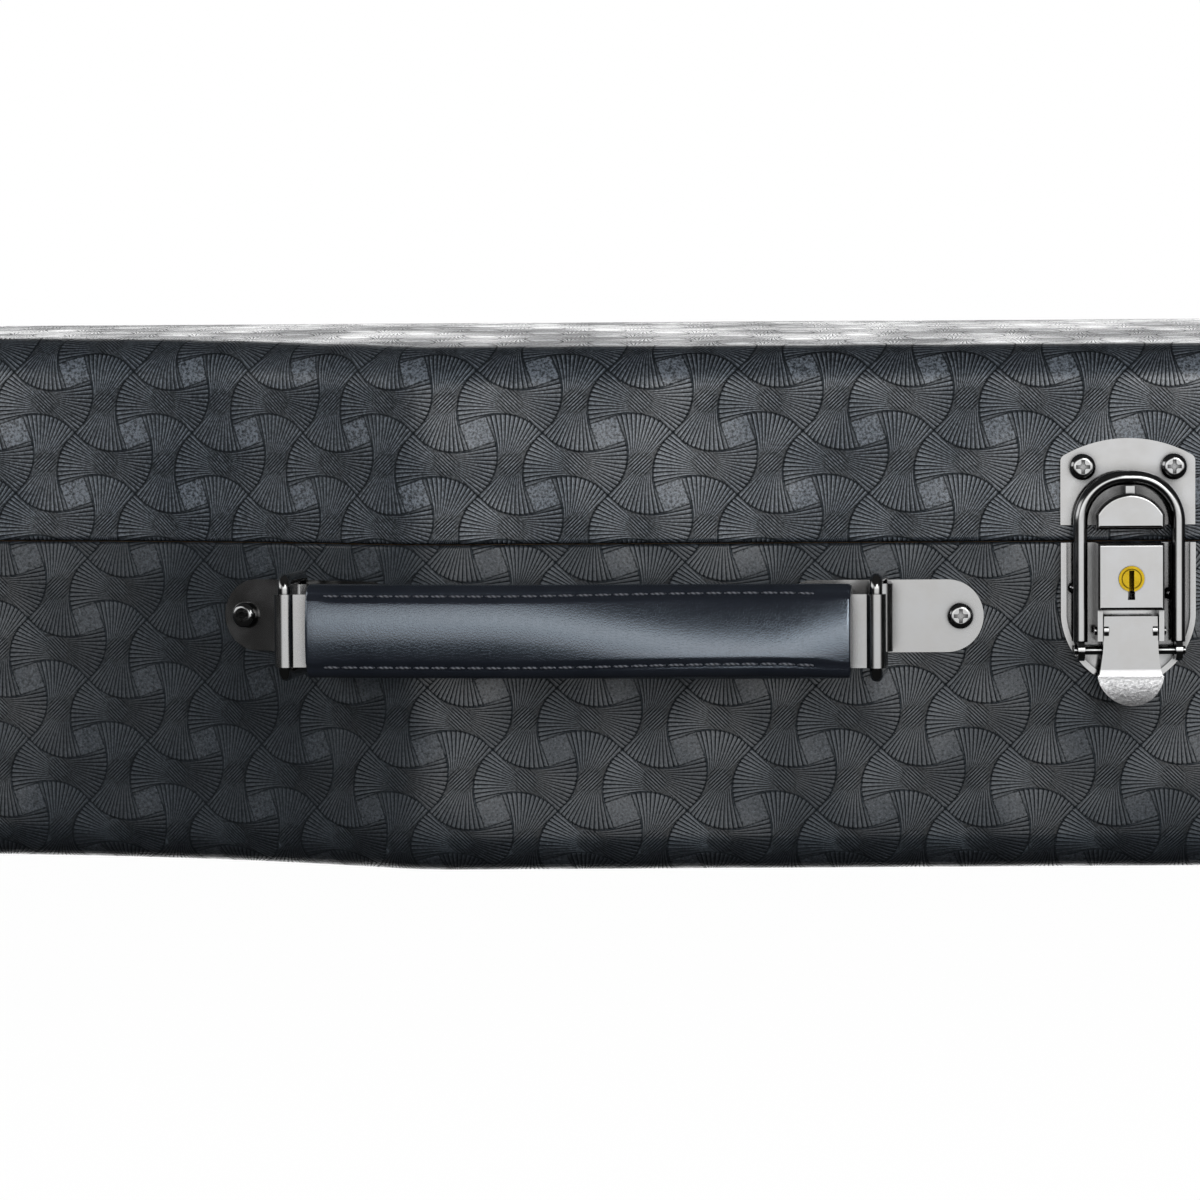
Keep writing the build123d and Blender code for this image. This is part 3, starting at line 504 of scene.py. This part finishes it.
def wrapCover(name, upward, finish, body, *replaced):
    # a cover with an open mouth at the parting line: sides, a rounded edge and the closing face
    p = casePlan
    side = backHalf()
    across, edge = cover["across"], p["edgeRadius"]
    up = 1 if upward else -1
    ring = [(x, -y, nx, -ny) for x, y, nx, ny in side]
    last = side[-1]
    ring += [(last[0], -last[1] + 2 * last[1] * i / across, 1.0, 0.0) for i in range(1, across)]
    ring += list(reversed(side))
    first = side[0]
    ring += [(first[0], first[1] - 2 * first[1] * i / across, -1.0, 0.0) for i in range(1, across)]
    count = len(ring)
    along = [0.0]
    for i in range(1, count):
        along.append(along[-1] + math.dist(ring[i][:2], ring[i - 1][:2]))
    # the wrap starts where the straight handle side does, so that it reads as x there
    zero = min(range(len(side)), key=lambda i: abs(ring[i][0] - p["bendX"]))
    shift = ring[zero][0] - along[zero]
    # each level has an inset and a height, or no height but a stage: 0 to 1 up the side, then 1 plus
    # the angle round the edge
    mouth = p["parting"] + up * p["partingGap"]
    levels = [(cover["lipIn"], mouth, None), (cover["lipTurn"], mouth, None),
              (0.0, mouth + up * cover["lipRise"], None)]
    for i in range(cover["sideSteps"] + 1):
        levels.append((0.0, None, i / cover["sideSteps"]))
    for i in range(1, cover["edgeSteps"] + 1):
        a = math.pi / 2 * i / cover["edgeSteps"]
        levels.append((edge * (1 - math.cos(a)), None, 1 + a))
    points, uvs, faces = [], [], []
    for inset, z, stage in levels:
        for i, (x, y, nx, ny) in enumerate(ring):
            px, py = x - nx * inset, y - ny * inset
            low = mouth + up * cover["sideStart"]
            start = archZ(y) - edge - cover["lidEase"] if upward else edge
            top = archZ(py) if upward else 0.0
            if stage is None:
                pz = wrapV = z
            elif stage <= 1:
                pz = wrapV = low + (start - low) * stage
            else:
                a = stage - 1
                pz = start + (top - start) * math.sin(a)
                wrapV = start + up * edge * a
            points.append((px, py, pz))
            uvs.append((along[i] + shift, wrapV))
    for k in range(len(levels) - 1):
        for i in range(count):
            j = (i + 1) % count
            a, b = k * count + i, k * count + j
            c, d = b + count, a + count
            faces.append((a, b, c, d) if upward else (d, c, b, a))
    # closing face: rows from the handle side to the back, each as long as the case is wide there
    base = (len(levels) - 1) * count
    n = len(side)
    sideTop = (archZ(p["halfWidth"]) - edge if upward else edge) + up * edge * math.pi / 2
    rows = []
    for i in range(n):
        front, back = base + i, base + n + across - 1 + (n - 1 - i)
        if i == n - 1:
            row = [base + n - 1 + j for j in range(across + 1)]
        elif i == 0:
            row = [base + (count - j) % count for j in range(across + 1)]
        else:
            x, y0 = points[front][0], points[front][1]
            row = [front]
            for j in range(1, across):
                y = y0 + (points[back][1] - y0) * j / across
                points.append((x, y, archZ(y) if upward else 0.0))
                uvs.append((x, sideTop + (y + p["halfWidth"] - edge) * up))
                row.append(len(points) - 1)
            row.append(back)
        rows.append(row)
    for i in range(n - 1):
        for j in range(across):
            a, b, c, d = rows[i][j], rows[i + 1][j], rows[i + 1][j + 1], rows[i][j + 1]
            face = tuple(dict.fromkeys((a, b, c, d)))
            if len(face) > 2:
                faces.append(face if upward else tuple(reversed(face)))
    piece = addMesh(name, points, faces, finish, uvs)
    # the seam of the ring is at the head end, where the wrap starts and ends
    layer = piece.data.uv_layers["wrap"]
    total = along[-1] + math.dist(ring[-1][:2], ring[0][:2])
    for face in piece.data.polygons:
        us = [layer.data[i].uv[0] for i in face.loop_indices]
        if max(us) - min(us) > total / 2:
            for i in face.loop_indices:
                if layer.data[i].uv[0] < 0:
                    layer.data[i].uv[0] += total
    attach(piece, body)
    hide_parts(*replaced)


# the lid's copy is lifted: painted light, lighter and glossier than the base's copy of the same vinyl
lidVinyl = vinylFinish("lidVinyl", 0.13705, 0.0980, 1.25)
baseVinyl = vinylFinish("baseVinyl", 0.1399, 0.0372, 1.0)
wrapCover("lidCover", True, lidVinyl, "lid", "lid_vinyl_cover")
wrapCover("baseCover", False, baseVinyl, "case_base", "base_vinyl_side", "base_vinyl_bottom")
print("covers made")


# The strap handle: padded leather over a steel core, stitched along both edges

strap = {
    "half": 0.0642, "height": 0.0220, "thick": 0.0078, "bow": 0.0026, "crown": 0.0016, "backCrown": 0.3,
    "corner": 0.0026, "cornerSteps": 6, "faceLeast": 0.008, "faceSteps": 28, "steps": 80,
    "endRound": 0.0008, "endThin": 0.09, "endSteps": 5, "loopWire": 0.0015,
    "twist": 13.0, "twistStart": -0.35, "twistFade": 0.25, "twistLeft": 0.35,
    "groove": 0.0006, "grooveWide": 0.0007, "grooveEnd": 0.004, "grooveFade": 0.0012,
    "stitchIn": 0.0026, "stitchPitch": 0.0043, "stitchLong": 0.0037, "stitchEnd": 0.0062,
    "threadRadius": 0.0003, "threadThin": 0.55, "threadSink": 0.0003, "threadSeat": 0.0002,
    "threadRings": 9, "threadSides": 8,
}


def strapFrame():
    # the middle of the CAD strap and its direction in plan
    low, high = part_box("handle_steel_core")
    left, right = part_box("handle_ring_left"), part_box("handle_ring_right")
    wire = Vector((strap["loopWire"], strap["loopWire"], 0))
    a = Vector((left[0].x, left[0].y, 0)) + wire
    b = Vector((right[0].x, right[0].y, 0)) + wire
    middle = (low + high) / 2
    along = (b - a).normalized()
    return Matrix.Translation(middle) @ Matrix.Rotation(math.atan2(along.y, along.x), 4, "Z")


def strapSection(x):
    # outline of the strap at x from its middle: (y, z), with y negative away from the case
    h, t = strap["height"] / 2, strap["thick"] / 2
    outline = []
    corner = strap["corner"]
    for cy, cz, start in ((-t + corner, h - corner, 90), (-t + corner, -h + corner, 180),
                          (t - corner, -h + corner, 270), (t - corner, h - corner, 0)):
        for i in range(strap["cornerSteps"] + 1):
            a = math.radians(start + 90 * i / strap["cornerSteps"])
            outline.append((cy + corner * math.cos(a), cz + corner * math.sin(a)))
    # crowned faces, with a groove for each row of stitches on the outer face
    shaped = []
    for i, (y, z) in enumerate(outline):
        shaped.append((y, z))
        y2, z2 = outline[(i + 1) % len(outline)]
        if abs(z2 - z) > strap["faceLeast"]:
            for k in range(1, strap["faceSteps"]):
                zz = z + (z2 - z) * k / strap["faceSteps"]
                crown = strap["crown"] * (1 - (zz / h) ** 2)
                rows = (h - strap["stitchIn"], -h + strap["stitchIn"])
                dip = sum(math.exp(-((zz - row) / strap["grooveWide"]) ** 2) for row in rows)
                left = (strap["half"] - abs(x) - strap["grooveEnd"]) / strap["grooveFade"]
                out = crown - strap["groove"] * dip * min(1.0, max(0.0, left))
                shaped.append((y - out if y < 0 else y + crown * strap["backCrown"], zz))
    return shaped


def strapPoint(x, y, z):
    # a point of the straight strap, bowed and twisted towards its right end
    f = x / strap["half"]
    bow = -strap["bow"] * (1 - f ** 2)
    rise = min(1.0, max(0.0, f - strap["twistStart"]))
    fall = min(1.0, max(0.0, (1.0 - f) / strap["twistFade"]))
    share = strap["twistLeft"] + (1 - strap["twistLeft"]) * fall
    turn = math.radians(strap["twist"]) * rise * rise * (3 - 2 * rise) * share
    c, s = math.cos(turn), math.sin(turn)
    return Vector((x, y * c + z * s + bow, z * c - y * s))


def makeStrap():
    place = strapFrame()
    half = strap["half"]
    points, faces = [], []
    # places along the strap, each with how thick it is there: rounded ends and a plain run between
    low, high, count = [], [], strap["endSteps"]
    for i in range(count + 1):
        inset = strap["endRound"] * (1 - math.cos(math.pi / 2 * i / count))
        thick = 1 - strap["endThin"] * (1 - i / count) ** 2
        low.append((-half + inset, thick))
        high.insert(0, (half - inset, thick))
    run = 2 * half - 2 * strap["endRound"]
    plain = [(-half + strap["endRound"] + run * i / strap["steps"], 1.0) for i in range(1, strap["steps"])]
    stations = low + plain + high
    ring = len(strapSection(0.0))
    for x, scale in stations:
        for y, z in strapSection(x):
            points.append(place @ strapPoint(x, y * scale, z * scale))
    for k in range(len(stations) - 1):
        for i in range(ring):
            j = (i + 1) % ring
            a, b = k * ring + i, k * ring + j
            faces.append((a, b, b + ring, a + ring))
    faces.append(tuple(range(ring))[::-1])
    faces.append(tuple(range((len(stations) - 1) * ring, len(stations) * ring)))
    piece = addMesh("strapCover", points, faces, finishes["strap"])
    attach(piece, "handle_strap")
    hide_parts("handle_strap")
    # stitches: short threads that sink at both ends
    points, faces = [], []
    count = int((2 * half - 2 * strap["stitchEnd"]) / strap["stitchPitch"])
    for row in (1, -1):
        z = row * (strap["height"] / 2 - strap["stitchIn"])
        for i in range(count + 1):
            x0 = -half + strap["stitchEnd"] + i * strap["stitchPitch"]
            addStitch(points, faces, place, x0, z)
    threads = addMesh("strapStitches", points, faces, finishes["thread"])
    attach(threads, "handle_strap")


def addStitch(points, faces, place, x0, z):
    radius, segments, rings = strap["threadRadius"], strap["threadSides"], strap["threadRings"]
    crown = strap["crown"] * (1 - (2 * z / strap["height"]) ** 2)
    surface = -strap["thick"] / 2 - crown + strap["groove"] - strap["threadSeat"]
    base = len(points)
    for k in range(rings):
        f = k / (rings - 1)
        x = x0 + strap["stitchLong"] * (f - 0.5)
        middle = math.sin(math.pi * f)
        lift = strap["threadSink"] * (min(1.0, 3 * middle) - 1)
        r = radius * (strap["threadThin"] + (1 - strap["threadThin"]) * middle)
        for i in range(segments):
            a = 2 * math.pi * i / segments
            points.append(place @ strapPoint(x, surface - lift + r * math.cos(a), z + r * math.sin(a)))
    for k in range(rings - 1):
        for i in range(segments):
            j = (i + 1) % segments
            a, b = base + k * segments + i, base + k * segments + j
            faces.append((a, b, b + segments, a + segments))
    faces.append(tuple(base + i for i in range(segments))[::-1])
    faces.append(tuple(base + (rings - 1) * segments + i for i in range(segments)))


makeStrap()
print("strap made")


# Finishes on the carried-over nodes

def nodeFinish(name):
    if "lock_cylinder" in name:
        return "brass"
    if name.endswith("_feet"):
        return "rubber"
    if name.endswith("_lever"):
        return "lever"
    if name.startswith(("latch", "hinge")) or "ring" in name or "screws" in name:
        return "nickel"
    if name.startswith("handle"):
        return "steel"
    if name.endswith(("side_rim", "panel")):
        return "ply"
    return "plush"


for name, node in nodes.items():
    finish = finishes[nodeFinish(name)]
    if not node.material_slots:
        node.data.materials.append(finish)
    for slot in node.material_slots:
        slot.material = finish
print("nodes finished")


# Padding of the inside

padding = {
    "voxel": 0.005, "relax": 0.5, "relaxSteps": 6,
    "pressure": 4.0, "quality": 4, "shrink": -0.02, "frames": 14,
    "cap": 0.006, "share": 0.6, "spill": 0.0015,  # how much of the swelling is kept, and how far it may rise
    "pieces": {
        "body_floor_pad": ("floorPad", 0.8), "end_bumper_pad": ("endBumper", 0.8),
        "waist_block_front": ("waistFront", 0.8), "waist_block_back": ("waistBack", 0.8),
        "neck_cradle": ("neckCradle", 0.9), "head_cradle": ("headCradle", 0.9),
    },
}


def softPad(node, name):
    # a cushion that starts as the foam block and swells under its cloth
    piece = nodes[node].copy()
    piece.data = nodes[node].data.copy()
    for key in list(piece.keys()):
        del piece[key]
    piece.name = name
    piece.parent = None
    bpy.context.scene.collection.objects.link(piece)
    remesh = piece.modifiers.new("remesh", "REMESH")
    remesh.mode = "VOXEL"
    remesh.voxel_size = padding["voxel"]
    remesh.use_smooth_shade = True
    relax = piece.modifiers.new("relax", "SMOOTH")
    relax.factor = padding["relax"]
    relax.iterations = padding["relaxSteps"]
    applyModifiers(piece)
    rest = [v.co.copy() for v in piece.data.vertices]
    cloth = piece.modifiers.new("cloth", "CLOTH")
    cloth.settings.use_pressure = True
    cloth.settings.uniform_pressure_force = padding["pressure"]
    cloth.settings.quality = padding["quality"]
    cloth.settings.effector_weights.gravity = 0
    cloth.settings.shrink_min = padding["shrink"]
    for step in range(1, padding["frames"] + 1):
        bpy.context.scene.frame_set(step)
    applyModifiers(piece)
    low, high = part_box(node)
    for v, start in zip(piece.data.vertices, rest):
        move = v.co - start
        if move.length > padding["cap"]:
            move *= padding["cap"] / move.length
        v.co = start + move * padding["share"]
        for k in range(3):
            v.co[k] = min(high[k] + padding["spill"], max(low[k], v.co[k]))
    bpy.context.scene.frame_set(1)
    smooth = piece.modifiers.new("smooth", "SUBSURF")
    smooth.levels = smooth.render_levels = 1
    piece.data.materials.clear()
    piece.data.materials.append(finishes["plush"])
    for face in piece.data.polygons:
        face.use_smooth = True
    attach(piece, "case_base")
    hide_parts(node)


def applyModifiers(piece):
    graph = bpy.context.evaluated_depsgraph_get()
    made = bpy.data.meshes.new_from_object(piece.evaluated_get(graph))
    piece.modifiers.clear()
    piece.data = made


for node, (name, fill) in padding["pieces"].items():
    softPad(node, name)
print("padding made")


# Stage

stage = {
    "half": 6.0, "drop": 0.0002, "glow": 1.05, "glowShare": 0.93,
    "bounce": 0.10,  # the floor throws little light back, so that the lower edge stays dark
}


def makeStage():
    mat = Mat("paleFloor")
    cloud = mat.noise(3.0, 2.0)
    mat.finish(Base_Color=cloud.ramp((0.3, (0.80, 0.80, 0.80)), (0.7, (0.82, 0.82, 0.82))), Roughness=0.9,
               Specular_IOR_Level=0.1)
    glow = mat.node("ShaderNodeEmission", None, {0: grey(1), 1: stage["glow"]})
    dull = mat.node("ShaderNodeBsdfDiffuse", None, {0: grey(stage["bounce"])})
    seen = mat.node("ShaderNodeLightPath", None, None, 0)
    pale = mat.blendShaders(stage["glowShare"], Sock(mat, mat.shader.outputs[0]), glow)
    result = mat.blendShaders(seen, dull, pale)
    out = next(n for n in mat.tree.nodes if n.type == "OUTPUT_MATERIAL")
    mat.tree.links.new(result.out, out.inputs[0])
    wide, z = stage["half"], -stage["drop"]
    corners = [(-wide, -wide, z), (wide, -wide, z), (wide, wide, z), (-wide, wide, z)]
    floor = addMesh("floor", corners, [(0, 1, 2, 3)], mat.data)
    floor.visible_glossy = False


keyLamp = {"spot": (0.7, -1.9, 0.75), "aim": (0.08, -0.15, 0.07), "size": 0.7, "power": 9.0}


def makeLamp():
    data = bpy.data.lights.new("keyLamp", "AREA")
    data.size = keyLamp["size"]
    data.energy = keyLamp["power"]
    lamp = bpy.data.objects.new("keyLamp", data)
    bpy.context.scene.collection.objects.link(lamp)
    lamp.location = keyLamp["spot"]
    lamp.rotation_mode = "QUATERNION"
    lamp.rotation_quaternion = (Vector(keyLamp["aim"]) - Vector(keyLamp["spot"])).to_track_quat("-Z", "Y")


studio = {
    # how bright each part of the world is
    "front": 2.3, "hot": 3.3, "back": 2.6, "left": 2.2, "low": 0.02, "sky": 0.03,
    # where it rises and falls, as soft edges along the axes of the direction
    "frontX": ((-0.72, -0.32), (0.60, 0.90)), "frontY": (-0.5, -0.2), "frontZ": ((-0.22, -0.06), (0.19, 0.39)),
    "hotZ": ((-0.02, 0.08), (0.15, 0.25)),
    "backY": (0.75, 0.9), "backZ": (0.25, 0.5),
    "leftX": (-0.82, -0.66), "leftZ": ((0.02, 0.14), (0.35, 0.5)),
}


def band(value, rise, fall):
    # 1 between two soft edges, 0 outside them
    return value.between(*rise) * (1.0 - value.between(*fall))


def makeWorld():
    # a bright panel in front, a bright backdrop behind, dark elsewhere; plain white to the camera
    world = bpy.data.worlds.new("studio")
    bpy.context.scene.world = world
    world.use_nodes = True
    mat = Mat("studio", world.node_tree)
    x, y, z = mat.split(mat.place())
    ahead = 1.0 - y.between(*studio["frontY"])
    bright = studio["front"] + band(z, *studio["hotZ"]) * (studio["hot"] - studio["front"])
    front = band(x, *studio["frontX"]) * band(z, *studio["frontZ"]) * ahead * bright
    behind = y.between(*studio["backY"]) * (1.0 - z.between(*studio["backZ"])) * studio["back"]
    corner = (1.0 - x.between(*studio["leftX"])) * band(z, *studio["leftZ"]) * studio["left"]
    level = front + behind + corner + studio["low"] + z.between(0.0, 1.0) * studio["sky"]
    camera = mat.node("ShaderNodeLightPath", None, None, 0)
    strength = camera + level * (1.0 - camera)
    back = mat.tree.nodes["Background"]
    mat.tree.links.new(strength.out, back.inputs["Strength"])
    back.inputs["Color"].default_value = grey(1)


makeStage()
makeWorld()
makeLamp()
makeCamera()
bpy.context.scene.view_settings.view_transform = "Standard"

print("scene made")
